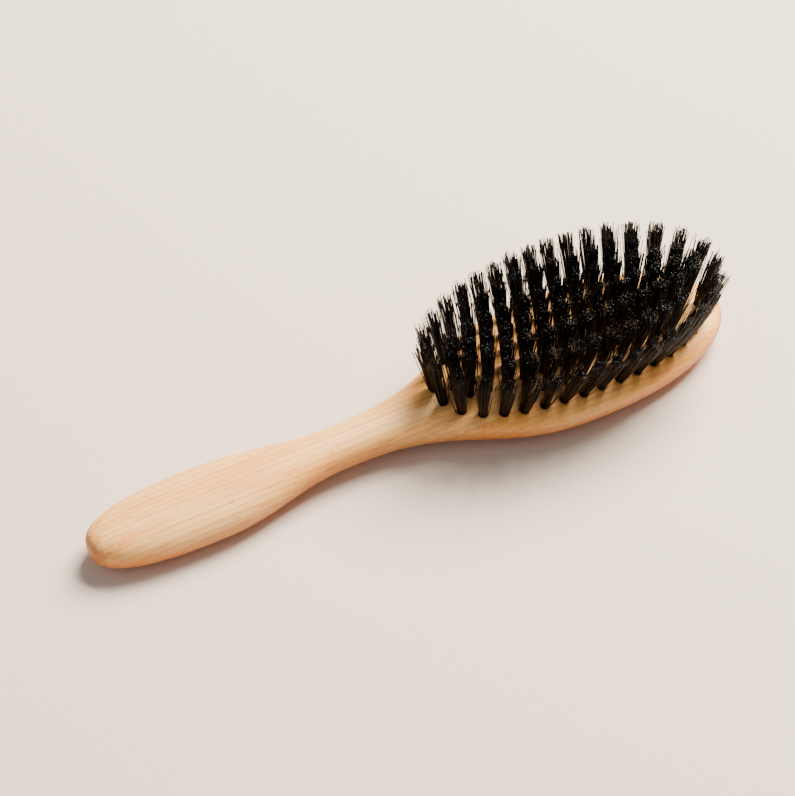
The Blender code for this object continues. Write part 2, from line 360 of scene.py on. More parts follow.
@dataclass(frozen=True)
class OiledBeech:
    """European beech, cut so that its rings run straight along the piece, sanded fine and oiled.

    It is pale straw to warm tan with a satin face. Its rings are faint, its rays show as short
    darker flecks along the grain, and its end grain drinks more oil and is a warmer orange. Its
    sides are painted the same darker orange where they turn down, as painted shade.
    """

    board: Board
    pale: str = "#ffd084"
    mellow: str = "#fab65e"
    late_wood: str = "#dd7f34"
    fleck: str = "#974d12"
    # The warmer orange of the oiled end grain, also used as painted shade on the sides that turn
    # down.
    end_grain_and_shade: str = "#a64e1a"
    ring_mm: float = 1.9
    ring_distortion: float = 0.5
    ring_distortion_scale: float = 0.4
    pith_lean: tuple[float, float] = (math.radians(1.2), math.radians(0.8))
    sway: Pattern = Pattern(70.0, 14.0, 2.0)
    sway_mm: float = 1.6
    clouds: Pattern = Pattern(48.0, 8.0, 3.0)
    streaks: Pattern = Pattern(90.0, 1.1, 3.0)
    fibres: Pattern = Pattern(14.0, 0.30, 4.0)
    mellow_range: Range = (0.34, 0.66, 1.0)
    late_range: Range = (0.35, 1.0, 0.42)
    streak_range: Range = (0.46, 0.7, 0.62)
    strand_range: Range = (0.48, 0.76, 0.42)
    end_range: Range = (0.35, 0.95, 0.8)
    # Painted shade: how much darker orange a face gets as its normal turns down from the top.
    painted_shade_side_range: Range = (0.7, -0.3, 0.62)
    fine_rays: Rays = Rays(2.6, 0.42, 0.36, 0.55, 0.45)
    bold_rays: Rays = Rays(6.76, 0.756, 0.32, 0.9, 0.6)
    ray_edge: float = 0.3
    ray_depth: float = 0.6
    relief_mm: float = 0.05
    relief_strength: float = 0.2
    roughness: float = 0.46
    shine: float = 0.35

    def material(self) -> bpy.types.Material:
        """Builds the material on Object coordinates, with every length in millimetres."""
        made, graph, shader = new_material(f"oiled beech, {self.board.name.lower()} board")
        place = graph.add("ShaderNodeTexCoord")
        mm = graph.add(
            "ShaderNodeMapping", {"Vector": place.outputs["Object"], "Scale": (1 / MM,) * 3}
        )

        # Slow changes of tone over straw-coloured wood.
        tone = self.step(graph, self.noise(graph, mm, self.clouds), self.mellow_range)
        ground = graph.mixed(tone, self.pale, self.mellow)

        # Darker lines over it: rings, long streaks and fibres.
        lines = self.step(graph, self.rings(graph, mm), self.late_range)
        streaks = self.step(graph, self.noise(graph, mm, self.streaks), self.streak_range)
        fibres = self.noise(graph, mm, self.fibres)
        strands = self.step(graph, fibres, self.strand_range)
        for more in (streaks, strands):
            lines = graph.maths("MAXIMUM", lines, more)
        lined = graph.mixed(lines, ground, self.late_wood)

        # Rays: fine ones all over, and a few long bold ones.
        fine, bold = (self.flecks(graph, mm, rays) for rays in (self.fine_rays, self.bold_rays))
        faint = graph.maths("MULTIPLY", fine, self.fine_rays.strength)
        rays = graph.maths("MULTIPLY_ADD", bold, self.bold_rays.strength, faint, use_clamp=True)
        rayed = graph.mixed(rays, lined, self.fleck)

        # The two ends cut across the fibres and take more oil, a warmer orange; the sides that turn
        # from the top towards the underside get the same orange as painted shade.
        facing = graph.add("ShaderNodeSeparateXYZ", {0: place.outputs["Normal"]})
        ahead = graph.maths("ABSOLUTE", facing.outputs["X"])
        ends = self.step(graph, ahead, self.end_range)
        # Painted shade: the more a face turns down from the top, the more of the darker orange it
        # gets.
        sides = self.step(graph, facing.outputs["Z"], self.painted_shade_side_range)
        end_grain_and_shade_share = graph.maths("MAXIMUM", ends, sides)
        oiled = graph.mixed(end_grain_and_shade_share, rayed, self.end_grain_and_shade)
        graph.give(shader, "Base Color", oiled)

        # A satin face: fibres stand a hair's breadth proud, and rays lie a little lower.
        relief = {
            "Strength": self.relief_strength,
            "Distance": self.relief_mm * MM,
            "Height": graph.maths("MULTIPLY_ADD", rays, -self.ray_depth, fibres),
        }
        bump = graph.add("ShaderNodeBump", relief)
        graph.give(shader, "Normal", bump)
        shader.inputs["Roughness"].default_value = self.roughness
        shader.inputs["Specular IOR Level"].default_value = self.shine
        return made

    def stretched(self, graph: Graph, mm: Any, along: float, over: float) -> Any:
        """Stretches millimetres along the grain.

        Args:
            graph: The node tree.
            mm: The node with the place in millimetres.
            along: The length of one unit of the pattern, in millimetres.
            over: Its width, in millimetres.

        Returns:
            The node with the stretched place.
        """
        return graph.add(
            "ShaderNodeMapping",
            {
                "Vector": mm,
                "Location": (self.board.seed, self.board.seed, 0.0),
                "Scale": (1 / along, 1 / over, 1 / over),
            },
        )

    def noise(self, graph: Graph, mm: Any, pattern: Pattern) -> Any:
        """Adds a soft random pattern over the node with the place in millimetres."""
        drawn = self.stretched(graph, mm, pattern.length_mm, pattern.width_mm)
        inputs = {"Vector": drawn, "Scale": 1.0, "Detail": pattern.detail}
        return graph.add("ShaderNodeTexNoise", inputs)

    def step(self, graph: Graph, value: Any, given: Range) -> Any:
        """Turns a value from the first number to the second into a share of the third, smoothly."""
        low, high, most = given
        return graph.add(
            "ShaderNodeMapRange",
            {0: value, 1: low, 2: high, 3: 0.0, 4: most},
            interpolation_type="SMOOTHSTEP",
        )

    def rings(self, graph: Graph, mm: Any) -> Any:
        """Makes the tree's rings: shells round the pith, which leans a little from the board.

        Args:
            graph: The node tree.
            mm: The node with the place in millimetres.

        Returns:
            The node with the share of each ring's width, from early wood to late.
        """
        sway = self.noise(graph, mm, self.sway).outputs["Color"]
        aside = (0.0, self.sway_mm, self.sway_mm)
        swayed = graph.vector("MULTIPLY_ADD", sway, aside, mm)
        from_pith = graph.add(
            "ShaderNodeMapping",
            {
                "Vector": swayed,
                "Location": self.board.pith,
                "Rotation": (0.0, *self.pith_lean),
            },
            vector_type="TEXTURE",
        )
        return graph.add(
            "ShaderNodeTexWave",
            {
                "Vector": from_pith,
                "Scale": WAVE_PERIOD / self.ring_mm,
                "Distortion": self.ring_distortion,
                "Detail": 2.0,
                "Detail Scale": self.ring_distortion_scale,
            },
            wave_type="RINGS",
            rings_direction="X",
            wave_profile="SAW",
        ).outputs["Fac"]

    def flecks(self, graph: Graph, mm: Any, rays: Rays) -> Any:
        """Makes lens-shaped flecks that lie along the grain.

        Args:
            graph: The node tree.
            mm: The node with the place in millimetres.
            rays: The flecks' sizes.

        Returns:
            The node with the share of fleck, from 0 to 1.
        """
        drawn = self.stretched(graph, mm, rays.length_mm, rays.width_mm)
        cells = graph.add("ShaderNodeTexVoronoi", {"Vector": drawn, "Scale": 1.0})
        lens = self.step(graph, cells, (rays.half_size, self.ray_edge * rays.half_size, 1.0))
        chance = graph.add("ShaderNodeSeparateColor", {0: cells.outputs["Color"]})
        return graph.maths("MULTIPLY", lens, graph.maths("GREATER_THAN", chance, rays.left_out))


@dataclass(frozen=True)
class BoarBristle:
    """Black boar bristle: keratin, tapered, split at its tip and cut at its other end.

    It is near black with a brown cast here and there. Its sides shine softly along their length,
    and the tips of some bristles are painted cool grey as painted highlights, small specks of
    glint.
    """

    black: str = "#040404"
    brown: str = "#1c0f08"
    # Painted highlight: the cool grey painted on the tips of some bristles in place of glints.
    painted_glint: str = "#6c7480"
    roughness: float = 0.3
    shine: float = 0.35
    dull_shine: float = 0.06
    brown_below: float = 0.35
    brown_most: float = 0.8
    glint_above: float = 0.7
    glint_from: float = 0.986
    glint_full: float = 0.991

    def material(self) -> bpy.types.Material:
        """Builds the material on each bristle's own tone and the distance along it."""
        made, graph, shader = new_material("black boar bristle")
        tone = graph.add("ShaderNodeAttribute", attribute_name="tone").outputs["Fac"]
        along = graph.add("ShaderNodeAttribute", attribute_name="along").outputs["Fac"]
        browned = graph.add(
            "ShaderNodeMapRange", {0: tone, 1: self.brown_below, 2: 0.0, 4: self.brown_most}
        )
        hair = graph.mixed(browned, self.black, self.brown)
        # Painted highlight: the last sliver of some bristles, chosen by their tone, is painted cool
        # grey as glints.
        tip = graph.add("ShaderNodeMapRange", {0: along, 1: self.glint_from, 2: self.glint_full})
        split = graph.add("ShaderNodeMapRange", {0: tone, 1: self.glint_above})
        pale = graph.maths("MULTIPLY", tip, split)
        ended = graph.mixed(pale, hair, self.painted_glint)
        graph.give(shader, "Base Color", ended)

        # The sides shine, and the tips, which carry the painted highlight, are dull.
        shine = graph.add("ShaderNodeMapRange", {0: tip, 3: self.shine, 4: self.dull_shine})
        graph.give(shader, "Specular IOR Level", shine)
        shader.inputs["Roughness"].default_value = self.roughness
        return made


@dataclass(frozen=True)
class DrawnWire:
    """Galvanised steel wire, drawn through a die, which leaves it dull grey with fine lines."""

    steel: str = "#a9abad"
    dull: str = "#7f8285"
    die_lines_mm: tuple[float, float, float] = (0.125, 2.0, 0.125)
    roughness: float = 0.38

    def material(self) -> bpy.types.Material:
        """Builds the material, with its die lines along the wire."""
        made, graph, shader = new_material("galvanised drawn steel wire")
        place = graph.add("ShaderNodeTexCoord")
        scale = tuple(1 / MM / size for size in self.die_lines_mm)
        drawn = graph.add("ShaderNodeMapping", {"Vector": place.outputs["Object"], "Scale": scale})
        lines = graph.add("ShaderNodeTexNoise", {"Vector": drawn, "Scale": 1.0})
        metal = graph.mixed(lines, self.steel, self.dull)
        graph.give(shader, "Base Color", metal)
        shader.inputs["Metallic"].default_value = 1.0
        shader.inputs["Roughness"].default_value = self.roughness
        return made


# ---------------------------------------------------------------- the wood


@dataclass
class Outline:
    """The outside of the wood, as formulas of the distance from the end of the handle."""

    handle_width: float = 0.0274
    handle_thickness: float = 0.0140
    neck_width: float = 0.0147
    neck_thickness: float = 0.0110
    head_thickness: float = 0.0136
    handle_widest: float = 0.040
    neck_narrowest: float = 0.085
    head_widest: float = 0.168
    neck_lift: float = 0.0025
    rest_flat: float = 0.00035
    handle_end_power: float = 2.6
    head_tip_power: float = 2.1
    shoulder_power: float = 2.05
    handle_rounding_power: float = 3.6
    tip_rounding_power: float = 2.4
    handle_section_power: float = 2.2
    face_section_power: float = 3.1
    back_section_power: float = 2.25
    start: float = field(init=False)
    length: float = field(init=False)
    head_width: float = field(init=False)

    def __post_init__(self) -> None:
        """Takes the wood's place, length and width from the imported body."""
        low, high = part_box("brush_body")
        self.start = low.x
        self.length = high.x - low.x
        self.head_width = high.y - low.y

    def half_width(self, station: float) -> float:
        """Half the width of the wood, seen from above."""
        if station < self.handle_widest:
            share = 1 - station / self.handle_widest
            return self.handle_width / 2 * arc(share, self.handle_end_power)
        if station < self.neck_narrowest:
            share = (station - self.handle_widest) / (self.neck_narrowest - self.handle_widest)
            swing = 0.5 - 0.5 * math.cos(math.pi * share)
            return blend(self.handle_width / 2, self.neck_width / 2, swing)
        if station < self.head_widest:
            share = (station - self.neck_narrowest) / (self.head_widest - self.neck_narrowest)
            return blend(self.neck_width / 2, self.head_width / 2, ease(share, self.shoulder_power))
        share = (station - self.head_widest) / (self.length - self.head_widest)
        return self.head_width / 2 * arc(share, self.head_tip_power)

    def side_profile(self, station: float) -> tuple[float, float]:
        """The (middle height, half thickness) of the wood, seen from the side."""
        if station < self.neck_narrowest:
            share = (station - self.handle_widest) / (self.neck_narrowest - self.handle_widest)
            thick = blend(self.handle_thickness, self.neck_thickness, ease(share))
            lift = blend(0.0, self.neck_lift, ease(share))
        else:
            share = (station - self.neck_narrowest) / (self.head_widest - self.neck_narrowest)
            thick = blend(self.neck_thickness, self.head_thickness, ease(share))
            lift = blend(self.neck_lift, 0.0, ease(share))
        closing = 1.0
        if station < self.handle_widest:
            closing = arc(1 - station / self.handle_widest, self.handle_rounding_power)
        if station > self.head_widest:
            reach = self.length - self.head_widest
            closing = arc((station - self.head_widest) / reach, self.tip_rounding_power)
        thick += self.rest_flat
        return lift - self.rest_flat + thick / 2, thick / 2 * closing

    def section_power(self, station: float, in_head: float) -> float:
        """How square a half of the section is here, when it is in_head where the head is widest."""
        share = (station - self.neck_narrowest) / (self.head_widest - self.neck_narrowest)
        return blend(self.handle_section_power, in_head, ease(share))

    def face_height(self, station: float, across: float) -> float:
        """The height of the bristle face above the table, this far across from the middle."""
        middle, half = self.side_profile(station)
        power = self.section_power(station, self.face_section_power)
        return middle + half * arc(across / self.half_width(station), power)

    def section_point(self, station: float, angle: float) -> Vector:
        """A point on the wood's section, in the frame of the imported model."""
        middle, half = self.side_profile(station)
        in_head = self.face_section_power if math.sin(angle) > 0 else self.back_section_power
        power = self.section_power(station, in_head)
        across = self.half_width(station) * power_wave(math.cos(angle), power)
        up = half * power_wave(math.sin(angle), power)
        return Vector((self.start + station, across, max(middle + up, 0.0)))


@dataclass
class TuftPattern:
    """Where the tufts stand: rows across the head inside a ring of outer tufts, all staggered."""

    outline: Outline
    pitch: float = 0.0068
    row_spacing: float = 0.0068
    edge_margin: float = 0.0063
    tip_margin: float = 0.0083
    ring_starts: float = 0.1197
    ring_widest: float = 0.171
    ring_power: float = 2.2
    clearance: float = 0.0046
    lean_middle: float = 0.04
    lean_ends: float = 0.24
    lean_sides: float = 0.42
    lean_power: float = 1.5
    ring_steps: int = 800

    @property
    def ring_width(self) -> float:
        """Half the width of the ring of outer tufts."""
        return self.outline.head_width / 2 - self.edge_margin

    def ring_reach(self, station: float) -> float:
        """The half length of the ring, on this side of its widest station."""
        if station < self.ring_widest:
            return self.ring_widest - self.ring_starts
        return self.outline.length - self.tip_margin - self.ring_widest

    def ring_point(self, turn: float) -> Tuft:
        """The (station, distance across) on the ring; a turn of 0 is at the tip."""
        along = power_wave(math.cos(turn), self.ring_power)
        across = power_wave(math.sin(turn), self.ring_power)
        reach = self.ring_reach(self.ring_widest + along)
        return self.ring_widest + reach * along, self.ring_width * across

    def ring_half_width(self, station: float) -> float:
        """Half the width of the ring at this station."""
        share = (station - self.ring_widest) / self.ring_reach(station)
        return self.ring_width * arc(share, self.ring_power)

    def ring_tufts(self) -> list[Tuft]:
        """The outer tufts on one side, evenly spaced along the ring, from the handle to the tip."""
        turns = [math.pi * (1 - i / self.ring_steps) for i in range(self.ring_steps + 1)]
        path = [Vector(self.ring_point(turn)) for turn in turns]
        runs = [0.0]
        for before, after in zip(path, path[1:]):
            runs.append(runs[-1] + (after - before).length)
        count = round(runs[-1] / self.pitch)
        tufts, at = [], 0
        for i in range(count):
            while runs[at + 1] < runs[-1] * (i + 0.5) / count:
                at += 1
            tufts.append(tuple(path[at]))
        return tufts

    def rows(self) -> list[list[Tuft]]:
        """Every row across the head, from the handle to the tip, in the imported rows' order."""
        ring = self.ring_tufts()
        placed = [Vector(tuft) for tuft in ring] + [Vector((s, -y)) for s, y in ring]

        def fits(station: float, across: float) -> bool:
            """Whether a tuft here is clear of those already placed."""
            here = Vector((station, across))
            return all((here - other).length >= self.clearance for other in placed)

        rows = []
        for i, (station, outer) in enumerate(ring):
            inner = self.row_spacing / self.ring_width * outer
            row = [(station, outer), (station, -outer)]
            if 2 * inner >= self.clearance and fits(station, inner):
                row += [(station, inner), (station, -inner)]
                placed += [Vector((station, inner)), Vector((station, -inner))]
            rows.append(row)
            if i + 1 == len(ring):
                continue
            between = (station + ring[i + 1][0]) / 2
            across = 2 * self.row_spacing / self.ring_width * self.ring_half_width(between)
            row = [(between, side * across) for side in (1, -1) if fits(between, side * across)]
            if fits(between, 0.0):
                row.append((between, 0.0))
            if row:
                rows.append(row)
        return [sorted(row, key=lambda tuft: tuft[1]) for row in rows]

    def lean(self, tuft: Tuft) -> Vector:
        """The direction of a tuft: it leans outwards all round the head."""
        station, across = tuft
        share = (station - self.ring_widest) / self.ring_reach(station)
        along = self.lean_middle + self.lean_ends * share * abs(share)
        spread = abs(across) / self.ring_width
        sideways = self.lean_sides * math.copysign(spread**self.lean_power, across)
        return Vector((along, sideways, 1.0)).normalized()

    def root(self, tuft: Tuft) -> Vector:
        """Where the middle of a tuft comes out of the wood."""
        station, across = tuft
        height = self.outline.face_height(station, across)
        return Vector((self.outline.start + station, across, height))


@dataclass
class WoodenParts:
    """The body with its handle, and the back glued over the wires."""

    outline: Outline
    pattern: TuftPattern
    section_points: int = 112
    station_step: float = 0.0011
    end_steps: int = 26
    back_thickness: float = 0.0040
    back_starts: float = 0.108
    scarf_length: float = 0.009
    glue_gap: float = 0.0003
    glue_line: float = 0.0001
    channel_depth: float = 0.0016
    channel_margin: float = 0.0022
    channel_points: int = 72
    bore_face_radius: float = 0.0016
    bore_back_radius: float = 0.0011
    bore_sides: int = 24
    rim_radius: float = 0.00028
    rim_steps: int = 4
    rim_flare: float = 2.4
    reach: float = 0.004
    sharp: float = math.radians(40)

    def build(self) -> list[bpy.types.Object]:
        """Makes both pieces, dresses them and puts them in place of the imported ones."""
        body = self.whole("body_and_handle")
        back = self.whole("glued_back")
        inside = self.back_region(self.glue_gap - self.glue_line)
        cut(back, "INTERSECT", [object_from(inside, "back")])
        cut(
            body,
            "DIFFERENCE",
            [
                object_from(self.back_region(self.glue_gap), "seat"),
                object_from(self.channel(), "channel"),
                object_from(self.bores(), "bores"),
            ],
        )
        packed = ((body, Board.BODY, "brush_body"), (back, Board.BACK, "back_cover"))
        for piece, board, node in packed:
            piece.data.shade_smooth()
            piece.data.set_sharp_from_angle(angle=self.sharp)
            piece.data.materials.clear()
            piece.data.materials.append(OiledBeech(board).material())
            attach(piece, BODY)
            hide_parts(node)
        return [body, back]

    def stations(self) -> list[float]:
        """Stations of the wood's sections, closer together towards its two ends."""
        outline = self.outline
        quarter = [1 - math.cos(math.pi / 2 * i / self.end_steps) for i in range(1, self.end_steps)]
        run = outline.head_widest - outline.handle_widest
        count = round(run / self.station_step)
        tip = outline.length - outline.head_widest
        start = [outline.handle_widest * share for share in quarter]
        middle = [outline.handle_widest + run * i / count for i in range(count + 1)]
        end = [outline.length - tip * share for share in reversed(quarter)]
        return start + middle + end

    def whole(self, name: str) -> bpy.types.Object:
        """The whole outside of the wood, before it is split for the glued back."""
        shape = bmesh.new()
        count = self.section_points
        rings = []
        for station in self.stations():
            turns = (2 * math.pi * i / count for i in range(count))
            points = [self.outline.section_point(station, turn) for turn in turns]
            rings.append([shape.verts.new(point) for point in points])
        bridge(shape, rings)
        for ring, station in ((rings[0], 0.0), (rings[-1], self.outline.length)):
            pole = shape.verts.new(
                (self.outline.start + station, 0.0, self.outline.side_profile(station)[0])
            )
            for i in range(count):
                shape.faces.new((ring[i], ring[(i + 1) % count], pole))
        return object_from(shape, name)

    def back_region(self, gap: float) -> bmesh.types.BMesh:
        """The space under the glue line and behind the scarf, grown by gap."""
        slope = self.back_thickness / self.scarf_length
        shift = gap * math.hypot(1.0, slope) / slope
        top = self.back_thickness + gap
        start = self.outline.start + self.back_starts - shift
        far = self.outline.start + self.outline.length + self.reach
        side = self.outline.head_width / 2 + self.reach
        points = [
            (start - self.reach / slope, side, -self.reach),
            (start + top / slope, side, top),
            (far, side, top),
            (far, side, -self.reach),
        ]
        return extruded(points, (0.0, -2 * side, 0.0))

    def down_to(self, height: float, tuft: Tuft) -> float:
        """The distance down a tuft's middle line from the face to this height."""
        return (self.pattern.root(tuft).z - height) / self.pattern.lean(tuft).z

    @property
    def channel_top(self) -> float:
        """The height of the roof of the recess that the wires lie in."""
        return self.back_thickness + self.glue_gap + self.channel_depth

    @property
    def wire_height(self) -> float:
        """The height of the wires."""
        return self.channel_top - self.channel_depth / 2

    def wire_end(self, tuft: Tuft) -> Vector:
        """Where a tuft's fold hangs on its row's wire."""
        lean = self.pattern.lean(tuft)
        return self.pattern.root(tuft) - lean * self.down_to(self.wire_height, tuft)

    def channel(self) -> bmesh.types.BMesh:
        """The shallow recess in the back of the head for the wires, round the outer tufts."""
        turns = (2 * math.pi * (i + 0.5) / self.channel_points for i in range(self.channel_points))
        ends = [self.wire_end(self.pattern.ring_point(turn)) for turn in turns]
        outline = []
        for before, end, after in zip(ends[-1:] + ends, ends, ends[1:] + ends[:1]):
            outwards = Vector((after.y - before.y, before.x - after.x)).normalized()
            x, y = end.xy + outwards * self.channel_margin
            outline.append((x, y, self.back_thickness - self.reach / 2))
        rise = self.channel_top - self.back_thickness + self.reach / 2
        return extruded(outline, (0.0, 0.0, rise))

    def bores(self) -> bmesh.types.BMesh:
        """Cutters for all the bores, each with the soft rim that sanding leaves."""
        shape = bmesh.new()
        face, back = self.bore_face_radius, self.bore_back_radius
        for tuft in (tuft for row in self.pattern.rows() for tuft in row):
            depth = self.down_to(self.channel_top, tuft)
            below = self.channel_depth / 2
            taper = (face - back) / depth
            profile = [(-depth - below, back - taper * below)]
            for i in range(self.rim_steps + 1):
                turn = math.pi / 2 * i / self.rim_steps
                height = self.rim_radius * (math.sin(turn) - 1)
                profile.append((height, face + self.rim_radius * (1 - math.cos(turn))))
            profile.append((self.rim_radius, face + self.rim_flare * self.rim_radius))
            root, lean = self.pattern.root(tuft), self.pattern.lean(tuft)
            turned(shape, self.bore_sides, profile, root, lean)
        return shape


# ---------------------------------------------------------------- bristle and wire


@dataclass
class BristleTufts:
    """The tufts of each row, grown by one Geometry Nodes tree from a point at each root."""

    pattern: TuftPattern
    count: int = 60
    length: float = 0.0207
    depth: float = 0.0040
    foot_radius: float = 0.00096
    tip_radius: float = 0.00240
    bristle_radius: float = 0.000175
    ragged: float = 0.0040
    splay: float = 0.00048
    bend: float = 0.00042
    stray_share: float = 0.13
    stray_lean: float = 0.0016
    flare: float = 0.78
    segments: int = 4
    sides: int = 4
    tip_taper: float = 0.25
    seed: int = 41

    golden_angle = math.pi * (3 - math.sqrt(5))
    whole_inputs = ("count", "points", "sides", "seed")
    real_inputs = (
        "length", "depth", "foot_radius", "tip_radius", "bristle_radius", "ragged", "splay",
        "bend", "stray_share", "stray_lean", "flare",
    )

    @property
    def points(self) -> int:
        """How many points each bristle's line has."""
        return self.segments + 1

    def build(self) -> list[bpy.types.Object]:
        """Makes one piece for each packed row and puts it in that row's place."""
        tree = self.tree()
        finish = BoarBristle().material()
        pieces = []
        for number, row in enumerate(self.pattern.rows(), start=1):
            piece = self.grow(tree, finish, number, row)
            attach(piece, BODY)
            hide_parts(f"tuft_row_{number:02d}")
            pieces.append(piece)
        return pieces

    def grow(self, tree: Any, finish: Any, number: int, row: list[Tuft]) -> bpy.types.Object:
        """Grows one row.

        Args:
            tree: The Geometry Nodes tree.
            finish: The bristles' material.
            number: The row's number, from the handle.
            row: Its tufts.

        Returns:
            The row's bristles as a plain mesh.
        """
        mesh = bpy.data.meshes.new(f"bristle_row_{number:02d}")
        mesh.from_pydata([self.pattern.root(tuft) for tuft in row], [], [])
        leans = mesh.attributes.new("lean", "FLOAT_VECTOR", "POINT")
        leans.data.foreach_set("vector", [part for tuft in row for part in self.pattern.lean(tuft)])
        piece = placed(mesh.name, mesh)
        growth = piece.modifiers.new("bristles", "NODES")
        growth.node_group = tree
        values = {name: getattr(self, name) for name in self.whole_inputs + self.real_inputs}
        values |= {"seed": self.seed + 10 * number, "finish": finish}
        sockets = {item.name: item.identifier for item in tree.interface.items_tree}
        for name, value in values.items():
            growth[sockets[name]] = value
        apply_modifiers(piece)
        return piece

    def tree(self) -> bpy.types.NodeTree:
        """Builds the tree that grows a mesh of roots, each with its lean, into tufts."""
        tree = bpy.data.node_groups.new("drawn bristle tufts", "GeometryNodeTree")
        face = tree.interface
        face.new_socket("Geometry", in_out="INPUT", socket_type="NodeSocketGeometry")
        for name in self.whole_inputs:
            face.new_socket(name, in_out="INPUT", socket_type="NodeSocketInt")
        for name in self.real_inputs:
            face.new_socket(name, in_out="INPUT", socket_type="NodeSocketFloat")
        face.new_socket("finish", in_out="INPUT", socket_type="NodeSocketMaterial")
        face.new_socket("Geometry", in_out="OUTPUT", socket_type="NodeSocketGeometry")
        graph = Graph(tree)
        graph.add("NodeGroupInput")
        points = self.add_paths(graph)
        hair = self.add_hair(graph)
        planted = graph.add("GeometryNodeInstanceOnPoints", {"Points": points, "Instance": hair})
        grown = graph.add("GeometryNodeRealizeInstances", {0: planted})
        place = self.add_place(graph)
        shaped = graph.add("GeometryNodeSetPosition", {"Geometry": grown, "Position": place})
        skin = self.add_skin(graph, shaped)
        realised = graph.add("GeometryNodeRealizeInstances", {0: skin})
        finished = graph.add(
            "GeometryNodeSetMaterial", {"Geometry": realised, "Material": graph.given["finish"]}
        )
        graph.add("NodeGroupOutput", {0: finished})
        return tree

    def chance(self, graph: Graph, offset: int, least: float) -> Any:
        """Adds three random numbers for each bristle, from least to 1, on a seed of their own."""
        seed = graph.maths("ADD", graph.given["seed"], offset)
        return graph.add(
            "FunctionNodeRandomValue",
            {0: (least,) * 3, 1: (1.0,) * 3, "Seed": seed},
            data_type="FLOAT_VECTOR",
        )

    def add_paths(self, graph: Graph) -> Any:
        """Scatters points over each root, each with a foot, rise, spread, bend and tone."""
        scatter = graph.add(
            "GeometryNodeDuplicateElements",
            {"Geometry": graph.given["Geometry"], "Amount": graph.given["count"]},
            domain="POINT",
        )
        shorter, tone, straying = graph.add(
            "ShaderNodeSeparateXYZ", {0: self.chance(graph, 0, 0.0)}
        ).outputs
        sway = self.chance(graph, 1, -1.0)
        bow = self.chance(graph, 2, -1.0)

        # Sunflower spacing fills the bore evenly: each bristle turns by the golden angle.
        index = scatter.outputs["Duplicate Index"]
        turn = graph.maths("MULTIPLY", index, self.golden_angle)
        area = graph.maths("DIVIDE", graph.maths("ADD", index, 0.5), graph.given["count"])
        share = graph.maths("SQRT", area)
        lean = graph.stored("lean")
        side = graph.vector("CROSS_PRODUCT", lean, (0.0, 1.0, 0.0))
        level = graph.vector("NORMALIZE", side)
        radial = graph.add("ShaderNodeVectorRotate", {"Vector": level, "Axis": lean, "Angle": turn})
        outwards = graph.scaled(radial, share)

        # The foot of the bristle hangs at the fold, and its tip is cut at its own height.
        here = graph.add("GeometryNodeInputPosition")
        mouth = graph.vector("MULTIPLY_ADD", outwards, graph.given["foot_radius"], here)
        foot = graph.vector("SUBTRACT", mouth, graph.scaled(lean, graph.given["depth"]))
        lost = graph.maths("MULTIPLY", graph.maths("POWER", shorter, 2.0), graph.given["ragged"])
        above = graph.maths("SUBTRACT", graph.given["length"], lost)
        rise = graph.scaled(lean, graph.maths("ADD", above, graph.given["depth"]))

        # It spreads with the tuft, a stray one further, and takes a slight bend of its own.
        widening = graph.maths("SUBTRACT", graph.given["tip_radius"], graph.given["foot_radius"])
        is_stray = graph.maths("LESS_THAN", straying, graph.given["stray_share"])
        reach = graph.maths("MULTIPLY_ADD", is_stray, graph.given["stray_lean"], widening)
        drift = graph.scaled(outwards, reach)
        spread = graph.vector("MULTIPLY_ADD", sway, graph.given["splay"], drift)
        bent = graph.scaled(bow, graph.given["bend"])

        points = scatter.outputs["Geometry"]
        for name, source in {"foot": foot, "rise": rise, "spread": spread, "bend": bent}.items():
            points = graph.store(points, "path_" + name, source)
        return graph.store(points, "tone", tone, "FLOAT")

    def add_hair(self, graph: Graph) -> Any:
        """Makes a straight line of unit length, which knows how far along it each point is."""
        line = graph.add("GeometryNodeCurvePrimitiveLine", {"End": (0.0, 0.0, 1.0)})
        count = graph.given["points"]
        parted = graph.add("GeometryNodeResampleCurve", {"Curve": line, "Count": count})
        here = graph.add("GeometryNodeInputPosition")
        height = graph.add("ShaderNodeSeparateXYZ", {0: here}).outputs["Z"]
        return graph.store(parted, "along", height, "FLOAT")

    def add_place(self, graph: Graph) -> Any:
        """Works out where each point of a bristle goes on its path."""
        foot, rise, spread, bend = (
            graph.stored("path_" + name) for name in ("foot", "rise", "spread", "bend")
        )
        along = graph.stored("along", "FLOAT")
        risen = graph.vector("MULTIPLY_ADD", rise, along, foot)
        widened = graph.maths("POWER", along, graph.given["flare"])
        flared = graph.vector("MULTIPLY_ADD", spread, widened, risen)
        back = graph.maths("SUBTRACT", 1.0, along)
        bow = graph.maths("MULTIPLY", graph.maths("MULTIPLY", back, along), 4.0)
        return graph.vector("MULTIPLY_ADD", bend, bow, flared)

    def add_skin(self, graph: Graph, lines: Any) -> Any:
        """Gives each bristle its round, tapered body.

        Args:
            graph: The node tree.
            lines: The node with the bristles' lines.

        Returns:
            The node with the bristles' mesh, without the paths stored on them.
        """
        along = graph.stored("along", "FLOAT")
        thinner = graph.maths("MULTIPLY_ADD", along, -self.tip_taper, 1.0)
        width = graph.maths("MULTIPLY", thinner, graph.given["bristle_radius"])
        section = graph.add(
            "GeometryNodeCurvePrimitiveCircle", {"Resolution": graph.given["sides"], "Radius": 1.0}
        )
        skin = graph.add(
            "GeometryNodeCurveToMesh",
            {"Curve": lines, "Profile Curve": section, "Scale": width, "Fill Caps": True},
        )
        smooth = graph.add("GeometryNodeSetShadeSmooth", {"Geometry": skin})
        return graph.add(
            "GeometryNodeRemoveAttribute",
            {"Geometry": smooth, "Name": "path_*"},
            pattern_mode="WILDCARD",
        )


